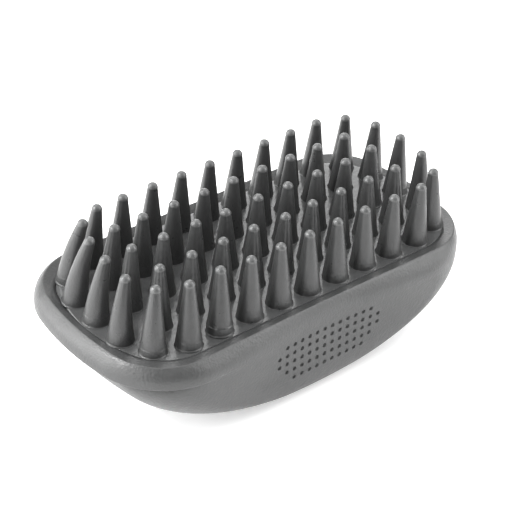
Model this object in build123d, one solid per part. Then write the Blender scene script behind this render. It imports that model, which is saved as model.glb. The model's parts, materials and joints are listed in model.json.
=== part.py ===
from build123d import *
import math
import os

# Rubber curry brush: a palm-sized grooming brush that lies on its domed palm side, pins up.
# Frame: millimetres, +X along the length towards the heel, +Z up along the pins.
# The origin is below the middle of the rim, at the height of the small flat that the brush rests on.

# Deck: the flat face that carries the pins, and the pad that it belongs to
DECK_HEIGHT = 30.0
DECK_LENGTH = 115.0
DECK_WIDTH = 53.0
DECK_END_RADIUS = 47.7
DECK_CORNER_RADIUS = 15.0
DECK_EDGE_DROP = 0.9
DECK_SHIFT = 0.8
PAD_THICKNESS = 5.2
PAD_GAP = 0.15

# Backing plate under the pad
PLATE_THICKNESS = 2.0
PLATE_INSET = 1.5
PLATE_GAP = 0.1

# Rim of the grip shell: a raised crest round the pad, and a face that rolls over below it
CREST_LENGTH = 118.9
CREST_WIDTH = 58.4
CREST_END_RADIUS = 89.0
CREST_CORNER_RADIUS = 16.4
CREST_RISE = 0.4
CREST_WAIST = 0.3
RIM_LENGTH = 123.7
RIM_WIDTH = 64.9
RIM_END_RADIUS = 83.3
RIM_CORNER_RADIUS = 21.9
RIM_DEPTH = 5.2
RIM_WAIST = 2.3
RIM_ROLL = 2.8
RIM_STATIONS = (0, 0.06, 0.16, 0.32, 0.55, 1)

# Hull of the grip shell, under the rim, with a shallow finger recess on each long side
HULL_LENGTH = 120.0
HULL_WIDTH = 66.4
HULL_TUCK = 4.6
HULL_SWEEP = 1.85
HULL_END_RADIUS = 100.0
HULL_CORNER_RADIUS = 16.5
HULL_WALL = 7.2
HULL_FLOOR = 6.8
HULL_STEPS = 9
HULL_STEP_EASE = 1.15
RECESS_WIDTH = 60.0
RECESS_FLARE = 0.062
PALM_BOW = 2.8
PALM_BOW_BEND = 3
PALM_BOW_LENGTH = 60.0
TUCK_BEND = 2

# Fullness of the dome: how much of each size is gone at the flat, and how it fades on the way
LENGTH_CLOSE = 0.985
LENGTH_BEND = 1.5
LENGTH_FADE = 0.358
WIDTH_CLOSE = 0.999
WIDTH_BEND = 1.87
WIDTH_FADE = 0.114
LEAST_CORNER = 0.35
CORNER_SHARE = 0.45
END_SHARE = 0.575

# Grip dimples on each long side
DIMPLE_PITCH = 2.7
DIMPLE_DIAMETER = 1.15
DIMPLE_DEPTH = 0.9
DIMPLE_COLUMNS = 14
DIMPLE_ROWS = 5
DIMPLE_TOP = 8.2
DIMPLE_MIDDLE = 2.0

# Pins: five rows of nine, and an arc of five at each end
ROW_PITCH = 11.0
COLUMN_PITCH = {0: 10.7, 1: 10.34, 2: 9.98}
ROW_NAMES = {2: "a", 1: "b", 0: "c", -1: "d", -2: "e"}
PINS_PER_ROW = 9
END_PLACES = [(48.9, 18.9), (52.8, 10.2), (53.2, 0.0), (52.8, -10.2), (48.9, -18.9)]
PIN_BASE_RADIUS = 3.65
PIN_TIP_RADIUS = 1.43
PIN_HEIGHT = 18.7
SOCKET_GAP = 0.1

# Leans of the pins, as sideways travel for each unit of height
ROW_LEAN_X = 0.0006
ROW_LEAN_Y = 0.0018
PIN_SETS = {
    "pin_a1": (0.08, 0.0),
    "pin_b1": (0.06, 0.0),
    "pin_c1": (0.05, 0.04),
    "pin_c4": (-0.06, -0.03),
    "pin_c9": (0.03, 0.07),
    "pin_d5": (0.01, -0.04),
    "pin_e1": (0.035, 0.05),
    "pin_e2": (0.045, 0.065),
    "pin_e8": (0.03, -0.025),
    "pin_e9": (0.04, -0.04),
}
HEEL_LEANS = [(-0.035, -0.03), (0.015, 0.01), (0.05, 0.05), (-0.01, 0.05), (-0.025, 0.035)]
TOE_LEANS = [(0.21, -0.085), (0.25, -0.035), (0.19, 0.02), (0.13, 0.05), (0.105, 0.09)]
TOE_CURL = 0.7
CURL_SECTIONS = 6


def outline(length, width, end_radius, corner_radius, waist, height):
    """Closed oblong at a height: bowed ends, round corners, sides drawn in by the waist."""
    half = length / 2
    side = width / 2
    end_centre = half - end_radius
    reach = end_radius - corner_radius
    rise = side - corner_radius
    corner_x = end_centre + math.sqrt(reach ** 2 - rise ** 2)
    split = math.atan2(rise, corner_x - end_centre)
    join = (end_centre + end_radius * math.cos(split), end_radius * math.sin(split))
    turn = (split + math.pi / 2) / 2
    bend = (corner_x + corner_radius * math.cos(turn), rise + corner_radius * math.sin(turn))
    edges = []
    for flip in (1, -1):
        edges.append(ThreePointArc((flip * join[0], -flip * join[1]), (flip * half, 0),
                                   (flip * join[0], flip * join[1])))
        edges.append(ThreePointArc((flip * join[0], flip * join[1]), (flip * bend[0], flip * bend[1]),
                                   (flip * corner_x, flip * side)))
        points = []
        for share in (1, 0.5, 0, -0.5, -1):
            draw = waist * (1 - abs(share))
            points.append((flip * share * corner_x, flip * (side - draw)))
        edges.append(Spline(*points, tangents=[(-flip, 0), (-flip, 0)]))
        edges.append(ThreePointArc((-flip * corner_x, flip * side), (-flip * bend[0], flip * bend[1]),
                                   (-flip * join[0], flip * join[1])))
    return Pos(0, 0, height) * Face(Wire(edges))


def prism(length, width, end_radius, corner_radius, bottom, top):
    """Straight-sided block with the oblong outline, between two heights."""
    face = outline(length, width, end_radius, corner_radius, 0, bottom)
    return extrude(face, amount=top - bottom, dir=(0, 0, 1))


def deck_prism(grow, bottom, top):
    """Block with the deck's outline, grown all round."""
    block = prism(DECK_LENGTH + 2 * grow, DECK_WIDTH + 2 * grow, DECK_END_RADIUS + grow,
                  DECK_CORNER_RADIUS + grow, bottom, top)
    return Pos(DECK_SHIFT, 0, 0) * block


def rim_solid():
    """Rim from its lower crease up to the crest, rolling inwards as it rises."""
    sections = []
    for part in RIM_STATIONS:
        roll = 1 - (1 - part) ** RIM_ROLL
        level = outline(CREST_LENGTH + (RIM_LENGTH - CREST_LENGTH) * roll,
                        CREST_WIDTH + (RIM_WIDTH - CREST_WIDTH) * roll,
                        CREST_END_RADIUS + (RIM_END_RADIUS - CREST_END_RADIUS) * roll,
                        CREST_CORNER_RADIUS + (RIM_CORNER_RADIUS - CREST_CORNER_RADIUS) * roll,
                        CREST_WAIST + (RIM_WAIST - CREST_WAIST) * roll,
                        DECK_HEIGHT + CREST_RISE - (CREST_RISE + RIM_DEPTH) * part)
        sections.append(Pos(DECK_SHIFT * (1 - roll), 0, 0) * level)
    return loft(sections)


def rim_funnel():
    """Sloping inside of the rim, from the crest down to the edge of the pad."""
    low = outline(DECK_LENGTH, DECK_WIDTH, DECK_END_RADIUS, DECK_CORNER_RADIUS, 0,
                  DECK_HEIGHT - DECK_EDGE_DROP)
    high = outline(CREST_LENGTH, CREST_WIDTH, CREST_END_RADIUS, CREST_CORNER_RADIUS, CREST_WAIST,
                   DECK_HEIGHT + CREST_RISE)
    return Pos(DECK_SHIFT, 0, 0) * loft([low, high], ruled=True)


def hull_section(drop, inset):
    """Oblong of the hull at one drop below the deck, drawn in by a wall."""
    share = min((drop - RIM_DEPTH) / (DECK_HEIGHT - RIM_DEPTH), 1)
    slope = (1 - LENGTH_CLOSE * share ** LENGTH_BEND) ** LENGTH_FADE
    side = (1 - WIDTH_CLOSE * share ** WIDTH_BEND) ** WIDTH_FADE
    length = HULL_LENGTH * slope - 2 * inset
    width = HULL_WIDTH * side - HULL_TUCK * (1 - share) ** TUCK_BEND - 2 * inset
    corner = min(HULL_CORNER_RADIUS * max(side, LEAST_CORNER), CORNER_SHARE * width)
    ends = max(HULL_END_RADIUS * slope, END_SHARE * width)
    recess = RECESS_WIDTH + 2 * RECESS_FLARE * (drop - RIM_DEPTH) - 2 * inset
    bow = PALM_BOW * (share * min(length / PALM_BOW_LENGTH, 1)) ** PALM_BOW_BEND
    waist = max(width - recess, 0) / 2 - bow
    return Pos(HULL_SWEEP * share, 0, 0) * outline(length, width, ends, corner, waist, DECK_HEIGHT - drop)


def hull_block(inset, top_drop, bottom_drop):
    """Block of the hull between two drops below the deck, closing in towards the palm side."""
    sections = []
    for step in range(HULL_STEPS + 1):
        turn = math.sin(step / HULL_STEPS * math.pi / 2)
        drop = top_drop + (bottom_drop - top_drop) * turn ** HULL_STEP_EASE
        sections.append(hull_section(drop, inset))
    return loft(sections)


def dimple_cutters(side):
    """Small round blind holes in staggered-length columns on one long side."""
    cutters = []
    depth = DIMPLE_TOP - RIM_DEPTH + DIMPLE_PITCH * (DIMPLE_ROWS - 1) / 2
    surface = side * (RECESS_WIDTH / 2 + RECESS_FLARE * depth)
    for column in range(DIMPLE_COLUMNS):
        from_end = min(column, DIMPLE_COLUMNS - 1 - column)
        rows = {0: (1, 2), 1: (0, 1, 2, 3)}.get(from_end, range(DIMPLE_ROWS))
        across = DIMPLE_MIDDLE + (column - (DIMPLE_COLUMNS - 1) / 2) * DIMPLE_PITCH
        for row in rows:
            height = DECK_HEIGHT - DIMPLE_TOP - row * DIMPLE_PITCH
            place = Pos(across, surface, height) * Rot(90, 0, 0)
            cutters.append(place * Cylinder(DIMPLE_DIAMETER / 2, 2 * DIMPLE_DEPTH))
    return cutters


def grip_shell():
    """Hollow palm grip with its rim, the pocket for the pad and the ledge for the plate."""
    body = rim_solid() + hull_block(0, RIM_DEPTH, DECK_HEIGHT)
    pad_floor = DECK_HEIGHT - PAD_THICKNESS
    plate_floor = pad_floor - PLATE_THICKNESS
    body = body - rim_funnel()
    body = body - deck_prism(0, pad_floor, DECK_HEIGHT - DECK_EDGE_DROP)
    body = body - deck_prism(-PLATE_INSET + PLATE_GAP, plate_floor, pad_floor)
    return body - hull_block(HULL_WALL, DECK_HEIGHT - plate_floor, DECK_HEIGHT - HULL_FLOOR)


def backing_plate():
    """Flat stiffener that lies on the ledge and backs the pad."""
    pad_floor = DECK_HEIGHT - PAD_THICKNESS
    return deck_prism(-PLATE_INSET, pad_floor - PLATE_THICKNESS, pad_floor)


def pin_places():
    """Name, place and lean of every pin."""
    places = []
    for row in sorted(ROW_NAMES, reverse=True):
        for number in range(1, PINS_PER_ROW + 1):
            name = f"pin_{ROW_NAMES[row]}{number}"
            along = (number - (PINS_PER_ROW + 1) / 2) * COLUMN_PITCH[abs(row)]
            across = row * ROW_PITCH
            own = PIN_SETS.get(name, (0, 0))
            lean = (own[0] - ROW_LEAN_X * along, own[1] - ROW_LEAN_Y * across)
            places.append((name, DECK_SHIFT + along, across, lean))
    for index, (along, across) in enumerate(END_PLACES):
        places.append((f"heel_pin_{index + 1}", DECK_SHIFT + along, across, HEEL_LEANS[index]))
        places.append((f"toe_pin_{index + 1}", DECK_SHIFT - along, across, TOE_LEANS[index]))
    return places


def pin_pad():
    """Rubber pad with a rolled edge and a round socket under every pin."""
    pad = deck_prism(-PAD_GAP, DECK_HEIGHT - PAD_THICKNESS, DECK_HEIGHT)
    pad = fillet(pad.faces().sort_by(Axis.Z)[-1].edges(), DECK_EDGE_DROP)
    for _, x, y, _ in pin_places():
        pad = pad - Pos(x, y, DECK_HEIGHT) * Sphere(PIN_BASE_RADIUS + SOCKET_GAP)
    return pad


def straight_pin(x, y, lean):
    """Cone with a round tip above the deck and a round root below it."""
    centre = PIN_HEIGHT - PIN_TIP_RADIUS
    taper = math.asin((PIN_BASE_RADIUS - PIN_TIP_RADIUS) / centre)
    shoulder = (PIN_TIP_RADIUS * math.cos(taper), centre + PIN_TIP_RADIUS * math.sin(taper))
    half_turn = (taper + math.pi / 2) / 2
    bend = (PIN_TIP_RADIUS * math.cos(half_turn), centre + PIN_TIP_RADIUS * math.sin(half_turn))
    root = PIN_BASE_RADIUS * math.sqrt(0.5)
    profile = [
        ThreePointArc((0, -PIN_BASE_RADIUS), (root, -root), (PIN_BASE_RADIUS, 0)),
        Line((PIN_BASE_RADIUS, 0), shoulder),
        ThreePointArc(shoulder, bend, (0, PIN_HEIGHT)),
        Line((0, PIN_HEIGHT), (0, -PIN_BASE_RADIUS)),
    ]
    body = revolve(Plane.XZ * Face(Wire(profile)), Axis.Z)
    stand = Plane(origin=(x, y, DECK_HEIGHT), z_dir=(lean[0], lean[1], 1), x_dir=(1, 0, -lean[0]))
    return stand * body


def curled_pin(x, y, lean):
    """Round pin whose middle line curls over, more and more towards its tip."""
    centre = PIN_HEIGHT - PIN_TIP_RADIUS
    sections = []
    for step in range(CURL_SECTIONS):
        part = step / (CURL_SECTIONS - 1)
        travel = (1 - TOE_CURL) * part + TOE_CURL * part ** 2
        slope = (1 - TOE_CURL) + 2 * TOE_CURL * part
        middle = (x + lean[0] * centre * travel, y + lean[1] * centre * travel, DECK_HEIGHT + centre * part)
        direction = (lean[0] * slope, lean[1] * slope, 1)
        radius = PIN_BASE_RADIUS + (PIN_TIP_RADIUS - PIN_BASE_RADIUS) * part
        level = Plane(origin=middle, z_dir=direction, x_dir=(1, 0, -direction[0]))
        sections.append(level * Circle(radius))
    tip = Pos(x + lean[0] * centre, y + lean[1] * centre, DECK_HEIGHT + centre) * Sphere(PIN_TIP_RADIUS)
    size = 4 * PIN_BASE_RADIUS
    root = Sphere(PIN_BASE_RADIUS) - Pos(0, 0, size / 2) * Box(size, size, size)
    start = (lean[0] * (1 - TOE_CURL), lean[1] * (1 - TOE_CURL), 1)
    foot = Plane(origin=(x, y, DECK_HEIGHT), z_dir=start, x_dir=(1, 0, -start[0]))
    return loft(sections) + tip + foot * root


def save(name, solid):
    """Write one piece as its own node."""
    export_step(solid, f"parts/{name}.step")


def build():
    os.makedirs("parts", exist_ok=True)
    shell = grip_shell()
    for side in (1, -1):
        shell = shell - dimple_cutters(side)
    save("grip_shell", shell)
    save("backing_plate", backing_plate())
    save("pin_pad", pin_pad())
    for name, x, y, lean in pin_places():
        if name.startswith("toe"):
            save(name, curled_pin(x, y, lean))
        else:
            save(name, straight_pin(x, y, lean))


build()
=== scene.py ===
"""Rubber curry brush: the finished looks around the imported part.

Shapes are worked out in millimetres in the part's own frame and turned into metres when a mesh is made.
"""

import json
import math
import random

import bpy
import numpy as np
from mathutils import Matrix, Vector


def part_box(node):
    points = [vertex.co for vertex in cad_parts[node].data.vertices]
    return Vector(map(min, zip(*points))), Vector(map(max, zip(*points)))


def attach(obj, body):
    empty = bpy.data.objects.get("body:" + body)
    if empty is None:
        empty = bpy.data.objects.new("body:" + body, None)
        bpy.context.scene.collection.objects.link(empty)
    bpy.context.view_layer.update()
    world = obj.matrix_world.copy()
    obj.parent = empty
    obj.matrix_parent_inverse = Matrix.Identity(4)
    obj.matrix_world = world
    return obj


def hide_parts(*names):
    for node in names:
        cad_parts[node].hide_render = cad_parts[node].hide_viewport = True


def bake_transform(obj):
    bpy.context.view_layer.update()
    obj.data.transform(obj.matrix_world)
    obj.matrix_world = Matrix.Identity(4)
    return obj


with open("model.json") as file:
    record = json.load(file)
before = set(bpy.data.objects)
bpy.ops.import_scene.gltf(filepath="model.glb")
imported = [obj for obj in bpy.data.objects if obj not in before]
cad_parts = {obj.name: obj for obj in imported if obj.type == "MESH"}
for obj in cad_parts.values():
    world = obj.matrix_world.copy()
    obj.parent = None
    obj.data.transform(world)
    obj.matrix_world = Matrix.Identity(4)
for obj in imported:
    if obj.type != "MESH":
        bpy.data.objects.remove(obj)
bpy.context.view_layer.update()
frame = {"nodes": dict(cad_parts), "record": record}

MM = 0.001
SEED = 11


def box_mm(node):
    """Low and high corner of a node, in millimetres."""
    low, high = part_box(node)
    return np.array(low) / MM, np.array(high) / MM


shell_low, shell_high = box_mm("grip_shell")
pad_low, pad_high = box_mm("pin_pad")
plate_low, plate_high = box_mm("backing_plate")

# Taken from the CAD: height of the deck, thicknesses, rise of the rim, and middle of the deck along X
DECK = float(pad_high[2])
PAD_THICKNESS = float(pad_high[2] - pad_low[2])
PLATE_THICKNESS = float(plate_high[2] - plate_low[2])
CREST_RISE = float(shell_high[2]) - DECK
DECK_X = float(pad_low[0] + pad_high[0]) / 2

# Pad, and the seam round it, which is shallow at the front and deeper at the back
PAD_LENGTH = float(pad_high[0] - pad_low[0])
PAD_WIDTH = float(pad_high[1] - pad_low[1])
PAD_GAP = 0.15
PAD_ROLL_STEPS = 9
PAD_FLAT_MARGIN = 0.15
SEAM_FRONT = 0.03
SEAM_BACK = 1.6
SEAM_START = -3.0
DECK_SIZE = dict(length=PAD_LENGTH + 2 * PAD_GAP, width=PAD_WIDTH + 2 * PAD_GAP,
                 ends=47.7, corner=15.0, waist=0.0, swell=0.0)

# Rim: its crest and its widest outline, the roll between them, and the slope down to the pad
RIM_DEPTH = 5.2
RIM_ROLL = 2.8
CREST_SIZE = dict(length=118.9, width=58.4, ends=89.0, corner=16.4, waist=0.3, swell=0.0)
RIM_SIZE = dict(length=float(shell_high[0] - shell_low[0]), width=64.9,
                ends=83.3, corner=21.9, waist=2.3, swell=0.0)
SLOPE_OVERLAP = 0.02

# Hull below the rim
HULL_LENGTH = 120.0
HULL_WIDTH = 66.4
HULL_TUCK = 4.6
TUCK_BEND = 2
HULL_SWEEP = 3.19
HULL_ENDS = 100.0
HULL_CORNER = 16.5
HULL_WALL = 7.2
HULL_FLOOR = 6.8
HULL_ROWS = 26
POCKET_ROWS = 9
PLATE_ROOM = 1.4

# Fullness of the dome: how much of each size is gone at the flat, and how it fades on the way
LENGTH_CLOSE = 0.985
LENGTH_BEND = 1.61
LENGTH_FADE = 0.357
WIDTH_CLOSE = 0.999
WIDTH_BEND = 1.71
WIDTH_FADE = 0.1285

# Plan of the dome: how its corners, ends and sides grow rounder towards the palm side
LEAST_CORNER = 0.35
CORNER_OF_WIDTH = 0.45
CORNER_OF_LENGTH = 0.38
ENDS_OF_WIDTH = 0.575
PALM_ROUND = 11.9
PALM_ENDS = 0.194
PALM_BEND = 3
PALM_SWELL = 0.161
SWELL_BEND = 5

# Finger recesses, and the lip under the rim: a step from the rim that fades down the hull
RECESS_WIDTH = 60.0
RECESS_FLARE = 0.062
TOE_LIP = dict(step=1.1, middle=0.3, fade=4.0, bend=3)
PLAIN_LIP = dict(step=0.08, middle=0.03, fade=12.0, bend=2)
LIP_START = -26.0
LIP_RUN = 18.0
CREASE_EDGE = 0.12
CREASE_END = 1.3

# Grip dimples
DIMPLE_PITCH = 2.7
DIMPLE_RADIUS = 0.66
DIMPLE_DEPTH = 0.6
DIMPLE_COLUMNS = 14
DIMPLE_ROWS = 5
DIMPLE_TOP = 8.2
DIMPLE_X = 2.0
PANEL_LEAD = 0.17
CELL = 6
# Radius and depth of each ring of a dimple, as shares of the dimple's own
DIMPLE_PROFILE = [(1.62, 0.0), (1.22, 0.0), (1.08, 0.02), (1.0, 0.1), (0.93, 0.32), (0.88, 0.62),
                  (0.78, 0.84), (0.5, 0.96), (0.2, 1.0)]

# Columns of the grip mesh along each part of the outline
END_COLUMNS = 14
CORNER_COLUMNS = 26
SIDE_COLUMNS = 16
SIDE_SHARE = 0.8
SQUEEZE_BEND = 8

# Pins: the round cap, the curl of the middle line, the faint mould ring near the foot, and the fillet
TIP_RADIUS = 1.43
TIP_SLICE = 0.02
CAP_LIP = 0.05
CAP_START = 0.1
CAP_END = 0.06
CAP_RINGS = 8
SHAFT_RINGS = 13
TOE_CURL = 0.7
PIN_CURL = 0.12
WITNESS_HEIGHTS = (1.7, 2.5)
WITNESS_CHOICES = (0.0, 0.015, 0.03)
WITNESS_STEPS = {"pin_e2": 0.14, "toe_pin_5": 0.05, "toe_pin_3": 0.05, "pin_d7": 0.08}
FILLET = 0.25
FILLET_LIFT = 0.01
FILLET_RINGS = 6
SUNK = 0.5
AROUND = 40

# Grain of the materials, in millimetres
CLOUD_SIZE = 9
MOTTLE_SIZE = 0.9
FINISH_SIZE = 2.2
WAVE_SIZE = 5.0

# Where the finish changes: a band below the deck's height, a stretch along Y, and a share of a pin's height
# above which the tip gets a glossier finish and a paler colour that is a painted highlight
EDGE_BAND = (0.25, 0.1)
EDGE_FRONT = (-14.0, 4.0)
TIP_START = 0.925
TIP_BLUR = 0.004

# Floor, light and view, in metres, degrees and watts; a lamp has a name, azimuth, elevation, size and power
FLOOR_HALF = 3.0
FLOOR_Z = -0.00005
FLOOR_GLOW = 0.3
WORLD_STRENGTH = 0.03
LAMP_DISTANCE = 0.9
LAMPS = (("near_right_box", 4, 20, 0.7, 0.5),
         ("right_box", 49, 20, 0.7, 6.3),
         ("high_right_box", 58, 48, 0.6, 3.0),
         ("far_right_box", 94, 35, 0.7, 2.0),
         ("back_strip", 139, 33, 0.3, 1.0),
         ("back_box", 139, 10, 0.5, 2.0),
         ("high_back_box", 176, 54, 0.8, 5.0),
         ("left_box", -131, 20, 0.7, 11.0),
         ("near_left_box", -86, 20, 0.7, 6.0),
         ("top_box", -100, 82, 1.2, 6.0),
         ("key_spark", -114, 44, 0.1, 4.0))
VIEW_AZIMUTH = -41.0
VIEW_ELEVATION = 35.09
VIEW_ROLL = 3.01
VIEW_DISTANCE = 0.42741
VIEW_LENS = 108.4
SENSOR = 36
VIEW_MOVE = (0.00013, -0.00137)


# ---------------------------------------------------------------- outlines

def mixed(a, b, share):
    """Sizes between two outlines."""
    return {key: a[key] + (b[key] - a[key]) * share for key in a}


def grown(size, grow):
    """Outline moved outwards all round."""
    return dict(size, length=size["length"] + 2 * grow, width=size["width"] + 2 * grow,
                ends=size["ends"] + grow, corner=size["corner"] + grow)


def corner_start(size):
    """Where the side of an outline turns into its corner, and the angle where the corner meets the end."""
    end_centre = size["length"] / 2 - size["ends"]
    reach = size["ends"] - size["corner"]
    rise = size["width"] / 2 - size["corner"]
    run = math.sqrt(reach ** 2 - rise ** 2)
    return end_centre + run, math.atan2(rise, run)


def swollen(size, x):
    """How many times wider an outline is at x for its swell."""
    return 1 + size["swell"] * (1 - (2 * x / size["length"]) ** 2)


def side_line(size, x):
    """Distance of the long side from the middle line at x."""
    corner_x, _ = corner_start(size)
    plain = size["width"] / 2 - size["waist"] * (1 + np.cos(np.pi * x / corner_x)) / 2
    return plain * swollen(size, x)


def side_columns(corner_x, centre):
    """Places along a long side with even steps across the dimples, squeezed where the side is short."""
    reach = DIMPLE_COLUMNS * DIMPLE_PITCH / 2
    room = SIDE_SHARE * corner_x / (reach + abs(DIMPLE_X))
    squeeze = 1 / (1 + max(1 / room, 0) ** SQUEEZE_BEND) ** (1 / SQUEEZE_BEND)
    right = (DIMPLE_X - centre + reach) * squeeze
    left = (DIMPLE_X - centre - reach) * squeeze
    first = np.linspace(corner_x, right, SIDE_COLUMNS + 1)[:-1]
    middle = np.linspace(right, left, DIMPLE_COLUMNS * CELL + 1)
    last = np.linspace(left, -corner_x, SIDE_COLUMNS + 1)[1:]
    return np.concatenate([first, middle, last])


def ring(size, centre, height):
    """Points round an outline, from the +X end towards +Y, all rings in the same order."""
    corner_x, split = corner_start(size)
    half = size["length"] / 2
    ends = size["ends"]
    corner = size["corner"]
    turn = np.linspace(0, split, END_COLUMNS + 1)[:-1]
    end = np.stack([half - ends + ends * np.cos(turn), ends * np.sin(turn)], 1)
    turn = np.linspace(split, math.pi / 2, CORNER_COLUMNS + 1)[:-1]
    rise = size["width"] / 2 - corner
    bend = np.stack([corner_x + corner * np.cos(turn), rise + corner * np.sin(turn)], 1)
    x = side_columns(corner_x, centre)
    side = np.stack([x, side_line(size, x)], 1)
    quarter = np.concatenate([end, bend])
    quarter[:, 1] *= swollen(size, quarter[:, 0])
    back = quarter[::-1] * [-1, 1]
    upper = np.concatenate([quarter, side, back])
    lower = upper[1:-1][::-1] * [1, -1]
    flat = np.concatenate([upper, lower])
    return np.column_stack([flat[:, 0] + centre, flat[:, 1], np.full(len(flat), height)])


# ---------------------------------------------------------------- grip shell

def hull_size(drop, inset=0.0):
    """Outline of the hull at one drop below the deck, and the place of its middle along X."""
    share = min(max((drop - RIM_DEPTH) / (DECK - RIM_DEPTH), 0), 1)
    slope = (1 - LENGTH_CLOSE * share ** LENGTH_BEND) ** LENGTH_FADE
    side = (1 - WIDTH_CLOSE * share ** WIDTH_BEND) ** WIDTH_FADE
    width = HULL_WIDTH * side - HULL_TUCK * (1 - share) ** TUCK_BEND - 2 * inset
    recess = RECESS_WIDTH + 2 * RECESS_FLARE * (drop - RIM_DEPTH) - 2 * inset
    palm = share ** PALM_BEND
    corner = HULL_CORNER * max(side, LEAST_CORNER) + PALM_ROUND * palm
    size = dict(length=HULL_LENGTH * slope - 2 * inset, width=width,
                ends=max(HULL_ENDS * slope, ENDS_OF_WIDTH * width) * (1 + PALM_ENDS * palm),
                corner=min(corner, CORNER_OF_WIDTH * width, CORNER_OF_LENGTH * HULL_LENGTH * slope),
                waist=max(width - recess, 0) / 2, swell=PALM_SWELL * share ** SWELL_BEND)
    return size, HULL_SWEEP * share


def outer_size(drop, lip):
    """Hull outline with a lip under the rim: the step back from the rim, and how far down it fades."""
    size, centre = hull_size(drop)
    top, _ = hull_size(RIM_DEPTH)
    edge = grown(RIM_SIZE, -lip["step"])
    edge["waist"] = RIM_SIZE["waist"] - lip["step"] + lip["middle"]
    fade = max(1 - (drop - RIM_DEPTH) / lip["fade"], 0) ** lip["bend"]
    return {key: size[key] + fade * (edge[key] - top[key]) for key in size}, centre


def rounded(before, edge, after, steps=5):
    """Rings of a small radius that replaces a sharp edge."""
    rings = []
    for t in np.linspace(0, 1, steps):
        rings.append((1 - t) ** 2 * before + 2 * t * (1 - t) * edge + t ** 2 * after)
    return rings


def rim_ring(part):
    """Ring of the rim's outer face, from the crest at 0 to the crease at 1."""
    roll = 1 - (1 - part) ** RIM_ROLL
    height = DECK + CREST_RISE - (CREST_RISE + RIM_DEPTH) * part
    return ring(mixed(CREST_SIZE, RIM_SIZE, roll), DECK_X * (1 - roll), height)


def seam_depth(spots):
    """Depth of the seam round the pad at each spot: shallow at the front, deeper at the back."""
    share = np.clip((spots[:, 1] - SEAM_START) / (DECK_SIZE["width"] / 2 - SEAM_START), 0, 1)
    return SEAM_FRONT + (SEAM_BACK - SEAM_FRONT) * share * share * (3 - 2 * share)


def slope_ring(part):
    """Ring of the rim's inner slope, from where it touches the pad at 0 to the crest at 1."""
    spots = ring(mixed(grown(DECK_SIZE, -PAD_GAP - SLOPE_OVERLAP), CREST_SIZE, part), DECK_X, DECK)
    depth = seam_depth(ring(DECK_SIZE, DECK_X, DECK))
    spots[:, 2] += CREST_RISE * part - depth * (1 - part)
    return spots


def toe_mix(plain, toe):
    """Ring that follows one course round the toe end and another elsewhere."""
    share = np.clip((LIP_START - plain[:, :1]) / LIP_RUN, 0, 1)
    return plain + (toe - plain) * share * share * (3 - 2 * share)


def crease_rings():
    """Rings from the rim to the hull: an edge round the toe end, a soft bend elsewhere."""
    crisp = [rim_ring(part) for part in (0.8, 0.85, 0.9)]
    crisp += rounded(rim_ring(0.96), rim_ring(1.0), hull_ring(RIM_DEPTH + CREASE_EDGE))
    crisp += [hull_ring(RIM_DEPTH + drop) for drop in (0.4, 0.8, CREASE_END)]
    soft = rounded(rim_ring(0.8), rim_ring(1.0), hull_ring(RIM_DEPTH + CREASE_END), len(crisp))
    return [toe_mix(*pair) for pair in zip(soft, crisp)]


def hull_ring(drop):
    """Ring of the hull's outer face: a crisp lip round the toe end, a faint one elsewhere."""
    size, centre = outer_size(drop, PLAIN_LIP)
    plain = ring(size, centre, DECK - drop)
    size, centre = outer_size(drop, TOE_LIP)
    return toe_mix(plain, ring(size, centre, DECK - drop))


def pocket_rings():
    """Rings of the inside: the hollow, the ledge of the plate and the pocket of the pad, upwards."""
    floor = DECK - PAD_THICKNESS
    ledge = floor - PLATE_THICKNESS
    rings = []
    for drop in np.linspace(DECK - HULL_FLOOR, DECK - ledge, POCKET_ROWS):
        size, centre = hull_size(drop, HULL_WALL)
        rings.append(ring(size, centre, DECK - drop))
    plate = grown(DECK_SIZE, -PLATE_ROOM)
    rings.append(ring(plate, DECK_X, ledge))
    rings.append(ring(plate, DECK_X, floor))
    rings.append(ring(DECK_SIZE, DECK_X, floor))
    return rings


def panel_drops():
    """Heights of the rows across the dimples, as drops below the deck."""
    top = DIMPLE_TOP - DIMPLE_PITCH / 2
    return np.linspace(top, top + DIMPLE_ROWS * DIMPLE_PITCH, DIMPLE_ROWS * CELL + 1)


def shell_rings():
    """All rings of the grip shell, and the number of the first row across the dimples."""
    rings = pocket_rings()
    rings += [slope_ring(part) for part in (0.0, 0.25, 0.5, 0.75, 0.9)]
    rings += rounded(slope_ring(0.93), rim_ring(0.0), rim_ring(0.025))
    rings += [rim_ring(part) for part in np.linspace(0.05, 0.75, 15)]
    rings += crease_rings()
    drops = panel_drops()
    rings.append(hull_ring(drops[0] - PANEL_LEAD))
    first = len(rings)
    rings += [hull_ring(drop) for drop in drops]
    left = DECK - drops[-1]
    for step in range(1, HULL_ROWS + 1):
        rings.append(hull_ring(drops[-1] + left * math.sin(step / HULL_ROWS * math.pi / 2)))
    flat = rings[-1]
    middle = np.array([HULL_SWEEP, 0, flat[0, 2]])
    for share in (0.93, 0.7, 0.4, 0.15):
        rings.append(middle + (flat - middle) * share)
    return rings, first


def dimpled(column, row):
    """True where the panel has a dimple: the end columns are shorter."""
    from_end = min(column, DIMPLE_COLUMNS - 1 - column)
    return row in {0: (1, 2), 1: (0, 1, 2, 3)}.get(from_end, range(DIMPLE_ROWS))


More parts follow.
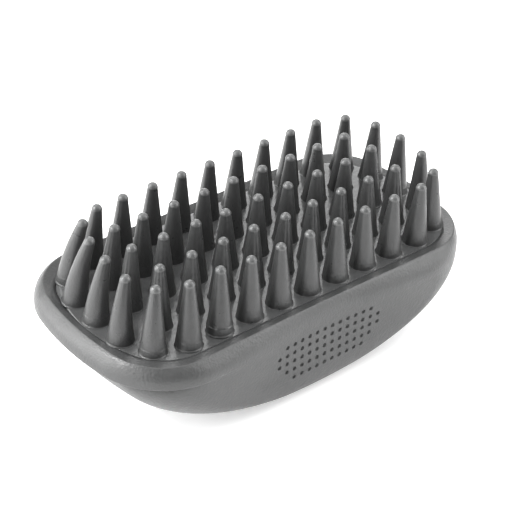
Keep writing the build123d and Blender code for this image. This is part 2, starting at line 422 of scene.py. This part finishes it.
def dimple(points, corner_ids, corners, column, row, side, faces):
    """Round blind hole inside one cell of the panel, joined to the cell's edge."""
    x = DIMPLE_X + (column - (DIMPLE_COLUMNS - 1) / 2) * DIMPLE_PITCH
    drop = DIMPLE_TOP + row * DIMPLE_PITCH
    turns = [math.atan2(corner[2] - (DECK - drop), corner[0] - x) for corner in corners]
    previous = corner_ids
    for radius, depth in DIMPLE_PROFILE:
        current = []
        for turn in turns:
            at_x = x + radius * DIMPLE_RADIUS * math.cos(turn)
            at_drop = drop - radius * DIMPLE_RADIUS * math.sin(turn)
            size, centre = outer_size(at_drop, PLAIN_LIP)
            surface = float(side_line(size, at_x - centre))
            current.append(len(points))
            points.append((at_x, side * (surface - depth * DIMPLE_DEPTH), DECK - at_drop))
        for k in range(len(turns)):
            n = (k + 1) % len(turns)
            faces.append((previous[k], previous[n], current[n], current[k]))
        previous = current
    faces.append(tuple(previous))


def cell_edge(row, column, columns):
    """Vertex numbers round the edge of one panel cell of the grid."""
    ids = [(row, column + k) for k in range(CELL)]
    ids += [(row + k, column + CELL) for k in range(CELL)]
    ids += [(row + CELL, column + CELL - k) for k in range(CELL)]
    ids += [(row + CELL - k, column) for k in range(CELL)]
    return [r * columns + c for r, c in ids]


def grip_mesh():
    """Grip shell as one closed skin: inside, rim, hull with its dimples, and the resting flat."""
    rings, first = shell_rings()
    columns = len(rings[0])
    points = [tuple(p) for r in rings for p in r]
    half = 2 * (END_COLUMNS + CORNER_COLUMNS) + 2 * SIDE_COLUMNS + DIMPLE_COLUMNS * CELL
    upper_start = END_COLUMNS + CORNER_COLUMNS + SIDE_COLUMNS
    starts = {1: upper_start, -1: half + (half - upper_start - DIMPLE_COLUMNS * CELL)}
    holes = set()
    faces = []
    for side, start in starts.items():
        for column in range(DIMPLE_COLUMNS):
            real = DIMPLE_COLUMNS - 1 - column if side == 1 else column
            for row in range(DIMPLE_ROWS):
                if dimpled(real, row):
                    r, c = first + row * CELL, start + column * CELL
                    ids = cell_edge(r, c, columns)
                    dimple(points, ids, [points[i] for i in ids], real, row, side, faces)
                    holes |= {(r + i, c + j) for i in range(CELL) for j in range(CELL)}
    for r in range(len(rings) - 1):
        for c in range(columns):
            if (r, c) not in holes:
                n = (c + 1) % columns
                a, b = r * columns, (r + 1) * columns
                faces.append((a + c, a + n, b + n, b + c))
    faces.append(tuple(range(columns)))
    last = (len(rings) - 1) * columns
    faces.append(tuple(last + c for c in reversed(range(columns))))
    return points, faces


# ---------------------------------------------------------------- pad and pins

def tube_faces(rows, columns):
    """Faces between rings that lie one above the other, closed at both ends."""
    faces = []
    for r in range(rows - 1):
        low, high = r * columns, (r + 1) * columns
        for c in range(columns):
            n = (c + 1) % columns
            faces.append((low + c, low + n, high + n, high + c))
    faces.append(tuple(reversed(range(columns))))
    faces.append(tuple((rows - 1) * columns + c for c in range(columns)))
    return faces


def pad_mesh():
    """Pad with a rolled upper edge that follows the depth of the seam."""
    size = grown(DECK_SIZE, -PAD_GAP)
    rings = [ring(size, DECK_X, DECK - PAD_THICKNESS)]
    edge = ring(size, DECK_X, DECK)
    inner = ring(grown(size, -1), DECK_X, DECK)
    depth = seam_depth(edge)[:, None]
    for turn in np.linspace(0, math.pi / 2, PAD_ROLL_STEPS):
        spots = edge + (inner - edge) * depth * (1 - math.cos(turn))
        spots[:, 2] = DECK - depth[:, 0] * (1 - math.sin(turn))
        rings.append(spots)
    flat = edge + (inner - edge) * (depth + PAD_FLAT_MARGIN)
    flat[:, 2] = DECK
    rings.append(flat)
    middle = np.array([DECK_X, 0, DECK])
    edge = rings[-1]
    for share in (0.9, 0.7, 0.45, 0.2):
        rings.append(middle + (edge - middle) * share)
    points = [tuple(p) for r in rings for p in r]
    return points, tube_faces(len(rings), len(rings[0]))


def pin_line(name):
    """Base centre and tip-ball centre of a pin, and its base radius, from its node."""
    low, high = box_mm(name)
    radius = (high[1] - low[1]) / 2
    mesh = frame["nodes"][name].data
    spots = np.array([v.co for v in mesh.vertices]) / MM
    top = spots[spots[:, 2] > high[2] - TIP_SLICE].mean(0)
    across = (low[1] + high[1]) / 2
    along = low[0] + radius if name.startswith("toe") else (low[0] + high[0]) / 2
    return np.array([along, across, DECK]), np.array([top[0], top[1], high[2] - TIP_RADIUS]), radius


def pin_profile(radius, length, step, chance):
    """Distance along the pin and radius of each of its rings, root first."""
    rings = [(-SUNK, radius + FILLET)]
    for turn in np.linspace(0, math.pi / 2, FILLET_RINGS):
        rings.append((FILLET_LIFT + FILLET * (1 - math.cos(turn)), radius + FILLET * (1 - math.sin(turn))))
    witness = chance.uniform(*WITNESS_HEIGHTS)
    for rise, extra in ((-0.15, step), (0.0, step), (0.08, 0.0), (0.3, 0.0)):
        height = witness + rise
        rings.append((height, radius + (TIP_RADIUS - radius) * height / length + extra))
    for share in (*np.linspace(0.2, 0.97, SHAFT_RINGS), 0.985):
        rings.append((share * length, radius + (TIP_RADIUS - radius) * share))
    for turn in (0.0, *np.linspace(CAP_START, math.pi / 2 - CAP_END, CAP_RINGS)):
        lip = CAP_LIP * (1 - turn / (math.pi / 2))
        rings.append((length + TIP_RADIUS * math.sin(turn), (TIP_RADIUS + lip) * math.cos(turn)))
    return rings


def pin_mesh(name, chance):
    """Tapered pin along its middle line, with a round tip and a small fillet at the deck."""
    base, tip, radius = pin_line(name)
    length = tip[2] - base[2]
    curl = TOE_CURL if name.startswith("toe") else PIN_CURL
    points = []
    step = WITNESS_STEPS.get(name, chance.choice(WITNESS_CHOICES))
    for height, size in pin_profile(radius, length, step, chance):
        part = min(height / length, 1)
        travel = part * (1 - curl) + curl * part * abs(part)
        lean = (tip - base)[:2] / length * (1 - curl + 2 * curl * max(part, 0))
        axis = Vector((lean[0], lean[1], 1)).normalized()
        middle = base + np.array([(tip - base)[0] * travel, (tip - base)[1] * travel, part * length])
        middle = middle + np.array(axis) * max(height - length, 0)
        across = Vector((1, 0, -lean[0])).normalized()
        other = axis.cross(across)
        for k in range(AROUND):
            turn = 2 * math.pi * k / AROUND
            spot = across * math.cos(turn) * size + other * math.sin(turn) * size
            points.append(tuple(middle + np.array(spot)))
    return points, tube_faces(len(points) // AROUND, AROUND), base, tip


def add_object(name, points, faces, material):
    """Smooth mesh object in metres, with unused points left out."""
    used = sorted({i for face in faces for i in face})
    new = {old: i for i, old in enumerate(used)}
    mesh = bpy.data.meshes.new(name)
    mesh.from_pydata([tuple(MM * v for v in points[i]) for i in used], [],
                     [tuple(new[i] for i in face) for face in faces])
    mesh.polygons.foreach_set("use_smooth", [True] * len(mesh.polygons))
    mesh.materials.append(material)
    mesh.validate()
    obj = bpy.data.objects.new(name, mesh)
    bpy.context.scene.collection.objects.link(obj)
    return obj


# ---------------------------------------------------------------- materials

class Nodes:
    """Small helper for building one node material."""

    def __init__(self, name):
        self.material = bpy.data.materials.new(name)
        self.material.use_nodes = True
        self.tree = self.material.node_tree
        self.shader = self.tree.nodes["Principled BSDF"]
        self.place = self.add("ShaderNodeTexCoord").outputs["Object"]

    def add(self, kind, **values):
        """Node with some of its settings or sockets filled in."""
        node = self.tree.nodes.new(kind)
        for key, value in values.items():
            if hasattr(node, key):
                setattr(node, key, value)
            else:
                node.inputs[key].default_value = value
        return node

    def link(self, output, socket):
        self.tree.links.new(output, socket)

    def noise(self, size_mm, detail=3.0, roughness=0.5):
        """Noise whose features are about size_mm across."""
        node = self.add("ShaderNodeTexNoise")
        node.inputs["Scale"].default_value = 1 / (size_mm * MM)
        node.inputs["Detail"].default_value = detail
        node.inputs["Roughness"].default_value = roughness
        self.link(self.place, node.inputs["Vector"])
        return node.outputs["Fac"]

    def ramp(self, value, stops):
        """Value turned into a colour or a grey by stops of (place, colour)."""
        node = self.add("ShaderNodeValToRGB")
        elements = node.color_ramp.elements
        while len(elements) < len(stops):
            elements.new(0.5)
        for element, (place, colour) in zip(elements, stops):
            element.position = place
            element.color = (*colour, 1) if len(colour) == 3 else colour
        self.link(value, node.inputs["Fac"])
        return node.outputs["Color"]

    def span(self, value, low, high, to_low, to_high):
        """Value moved from one range to another, clamped."""
        node = self.add("ShaderNodeMapRange")
        node.inputs["From Min"].default_value = low
        node.inputs["From Max"].default_value = high
        node.inputs["To Min"].default_value = to_low
        node.inputs["To Max"].default_value = to_high
        self.link(value, node.inputs["Value"])
        return node.outputs["Result"]

    def blend(self, share, a, b):
        """Mix of two colours by a share."""
        node = self.tree.nodes.new("ShaderNodeMix")
        node.data_type = "RGBA"
        self.link(share, node.inputs["Factor"])
        for value, socket in ((a, node.inputs[6]), (b, node.inputs[7])):
            if isinstance(value, tuple):
                socket.default_value = (*value, 1)
            else:
                self.link(value, socket)
        return node.outputs[2]

    def bump(self, height, depth_mm, strength, under=None):
        """Bump of a given depth, laid over an earlier one."""
        node = self.add("ShaderNodeBump")
        node.inputs["Strength"].default_value = strength
        node.inputs["Distance"].default_value = depth_mm * MM
        self.link(height, node.inputs["Height"])
        if under is not None:
            self.link(under, node.inputs["Normal"])
        return node.outputs["Normal"]


def grey(level, tint=(0.985, 1.0, 1.0)):
    """Nearly neutral grey."""
    return tuple(level * t for t in tint)


def front_edge(n):
    """Share of the smooth finish along the front of the rim's top edge: one there, nothing elsewhere."""
    split = n.add("ShaderNodeSeparateXYZ")
    n.link(n.place, split.inputs[0])
    low, high = EDGE_BAND
    top = n.span(split.outputs["Z"], (DECK - low) * MM, (DECK - high) * MM, 0.0, 1.0)
    near, far = EDGE_FRONT
    front = n.span(split.outputs["Y"], near * MM, far * MM, 1.0, 0.0)
    both = n.add("ShaderNodeMath", operation="MULTIPLY")
    n.link(top, both.inputs[0])
    n.link(front, both.inputs[1])
    return both.outputs[0]


def tip_highlight_share(n):
    """Share of the round tip of a pin that gets a glossier finish and a paler colour painted on as a
    highlight of the light from above, by height along the pin as moulded.
    """
    split = n.add("ShaderNodeSeparateXYZ")
    n.link(n.add("ShaderNodeTexCoord").outputs["Generated"], split.inputs[0])
    return n.span(split.outputs["Z"], TIP_START - TIP_BLUR, TIP_START + TIP_BLUR, 0.0, 1.0)


def rubber(name, level, rough, grain_mm, grain_depth, wave_depth, smooth_edge=None, tip=None):
    """Moulded rubber: cloudy grey, fine grain, faint waves, a smoother finish on a front edge, and on a tip
    a glossier finish with a paler colour that is a painted highlight.
    """
    n = Nodes(name)
    cloud = n.noise(CLOUD_SIZE, 4, 0.6)
    colour = n.ramp(cloud, [(0.35, grey(level * 0.93)), (0.65, grey(level * 1.07))])
    mottle = n.noise(MOTTLE_SIZE, 3, 0.6)
    colour = n.blend(n.span(mottle, 0.35, 0.7, 0.0, 0.22), colour, grey(level * 1.22))
    finish = n.span(n.noise(FINISH_SIZE, 3), 0.3, 0.7, rough * 0.88, rough * 1.12)
    for share_of, other in ((front_edge, smooth_edge), (tip_highlight_share, tip)):
        if other is not None:
            share = share_of(n)
            # On the front edge this colour is the plain grey; on a pin tip the paler colour is a painted
            # highlight of the light from above
            colour = n.blend(share, colour, grey(other[0]))
            mix = n.add("ShaderNodeMix")
            n.link(share, mix.inputs[0])
            n.link(finish, mix.inputs[2])
            mix.inputs[3].default_value = other[1]
            finish = mix.outputs[0]
    n.link(colour, n.shader.inputs["Base Color"])
    n.link(finish, n.shader.inputs["Roughness"])
    n.shader.inputs["Specular IOR Level"].default_value = 0.5
    wave = n.bump(n.noise(WAVE_SIZE, 2), wave_depth, 1.0)
    n.link(n.bump(n.noise(grain_mm, 2, 0.5), grain_depth, 1.0, wave), n.shader.inputs["Normal"])
    return n.material


def moulded_plastic(name):
    """Dark plastic of the hidden plate."""
    n = Nodes(name)
    n.link(n.ramp(n.noise(6, 4), [(0.3, grey(0.05)), (0.7, grey(0.07))]), n.shader.inputs["Base Color"])
    n.link(n.span(n.noise(1.5), 0.3, 0.7, 0.5, 0.65), n.shader.inputs["Roughness"])
    n.link(n.bump(n.noise(0.5, 2), 0.02, 1.0), n.shader.inputs["Normal"])
    return n.material


def floor_material():
    """Pale translucent table top with light coming through it, very slightly uneven."""
    n = Nodes("light_table")
    n.link(n.ramp(n.noise(60, 3), [(0.3, (0.93, 0.93, 0.93)), (0.7, (0.95, 0.95, 0.95))]),
           n.shader.inputs["Base Color"])
    n.link(n.span(n.noise(8), 0.3, 0.7, 0.85, 0.95), n.shader.inputs["Roughness"])
    n.shader.inputs["Specular IOR Level"].default_value = 0.1
    n.link(n.ramp(n.noise(60, 3), [(0.3, (0.96, 0.96, 0.96)), (0.7, (1, 1, 1))]),
           n.shader.inputs["Emission Color"])
    n.shader.inputs["Emission Strength"].default_value = FLOOR_GLOW
    return n.material


# ---------------------------------------------------------------- building

def build_grip(material):
    """Palm grip, in the place of the grip shell."""
    points, faces = grip_mesh()
    obj = add_object("grip", points, faces, material)
    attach(obj, "handle")
    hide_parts("grip_shell")


def build_pad(material):
    """Deck that carries the pins, in the place of the pin pad."""
    points, faces = pad_mesh()
    obj = add_object("deck_pad", points, faces, material)
    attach(obj, "handle")
    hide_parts("pin_pad")


def build_pins(material):
    """Pins standing on the deck, one for each pin in the bodies other than the handle."""
    chance = random.Random(SEED)
    for body, members in frame["record"]["behaviour"]["bodies"].items():
        if body == "handle":
            continue
        for name in members:
            points, faces, base, tip = pin_mesh(name, chance)
            obj = add_object(f"rubber_{name}", points, faces, material)
            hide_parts(name)
            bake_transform(obj)


def build_plate(material):
    """Finish of the hidden plate, which keeps its CAD shape."""
    node = frame["nodes"]["backing_plate"]
    node.data.materials.clear()
    node.data.materials.append(material)


# ---------------------------------------------------------------- stage, light and camera

def build_floor():
    """Wide flat table top, a hair below the brush."""
    mesh = bpy.data.meshes.new("floor")
    signs = ((-1, -1), (1, -1), (1, 1), (-1, 1))
    corners = [(FLOOR_HALF * x, FLOOR_HALF * y, FLOOR_Z) for x, y in signs]
    mesh.from_pydata(corners, [], [(0, 1, 2, 3)])
    mesh.materials.append(floor_material())
    floor = bpy.data.objects.new("floor", mesh)
    bpy.context.scene.collection.objects.link(floor)


def direction(azimuth, elevation):
    """Unit vector from the object towards a place round it, by the frame's view angles."""
    a, e = math.radians(azimuth), math.radians(elevation)
    return Vector((math.sin(a) * math.cos(e), -math.cos(a) * math.cos(e), math.sin(e)))


def add_area(name, azimuth, elevation, distance, size, power):
    """Square soft box that faces the middle of the brush."""
    light = bpy.data.lights.new(name, "AREA")
    light.shape = "SQUARE"
    light.size = size
    light.energy = power
    obj = bpy.data.objects.new(name, light)
    way = direction(azimuth, elevation)
    obj.location = Vector((0, 0, DECK * MM)) + way * distance
    obj.rotation_mode = "QUATERNION"
    obj.rotation_quaternion = way.to_track_quat("Z", "Y")
    bpy.context.scene.collection.objects.link(obj)


def build_light():
    """Dim white surroundings and the soft boxes."""
    world = bpy.data.worlds.new("studio")
    bpy.context.scene.world = world
    world.use_nodes = True
    back = world.node_tree.nodes["Background"]
    back.inputs["Color"].default_value = (1, 1, 1, 1)
    back.inputs["Strength"].default_value = WORLD_STRENGTH
    for name, azimuth, elevation, size, power in LAMPS:
        add_area(name, azimuth, elevation, LAMP_DISTANCE, size, power)


def build_camera():
    """Camera with a long lens, turned towards the middle of the deck."""
    back = direction(VIEW_AZIMUTH, VIEW_ELEVATION)
    right = (-back).cross(Vector((0, 0, 1))).normalized()
    up = back.cross(right)
    roll = math.radians(VIEW_ROLL)
    right, up = (right * math.cos(roll) + up * math.sin(roll),
                 up * math.cos(roll) - right * math.sin(roll))
    data = bpy.data.cameras.new("camera")
    data.lens = VIEW_LENS
    data.sensor_width = SENSOR
    camera = bpy.data.objects.new("camera", data)
    target = Vector((DECK_X, 0, DECK)) * MM
    place = target + back * VIEW_DISTANCE + right * VIEW_MOVE[0] + up * VIEW_MOVE[1]
    turn = Matrix((right, up, back)).transposed().to_4x4()
    camera.matrix_world = Matrix.Translation(place) @ turn
    bpy.context.scene.collection.objects.link(camera)
    bpy.context.scene.camera = camera


grip_rubber = rubber("grip_rubber", 0.05, 0.4, 0.6, 0.12, 0.02, (0.05, 0.3))
pad_rubber = rubber("pad_rubber", 0.068, 0.18, 1.6, 0.09, 0.05)
# The tip's paler grey 0.08 is a painted highlight of the light from above on the caps; its roughness 0.28
# is the caps' glossier finish
pin_rubber = rubber("pin_rubber", 0.04, 0.31, 0.5, 0.08, 0.02, tip=(0.08, 0.28))

build_camera()
build_light()
build_floor()
build_grip(grip_rubber)
build_pad(pad_rubber)
build_pins(pin_rubber)
build_plate(moulded_plastic("plate_plastic"))
bpy.context.scene.view_settings.view_transform = "Standard"
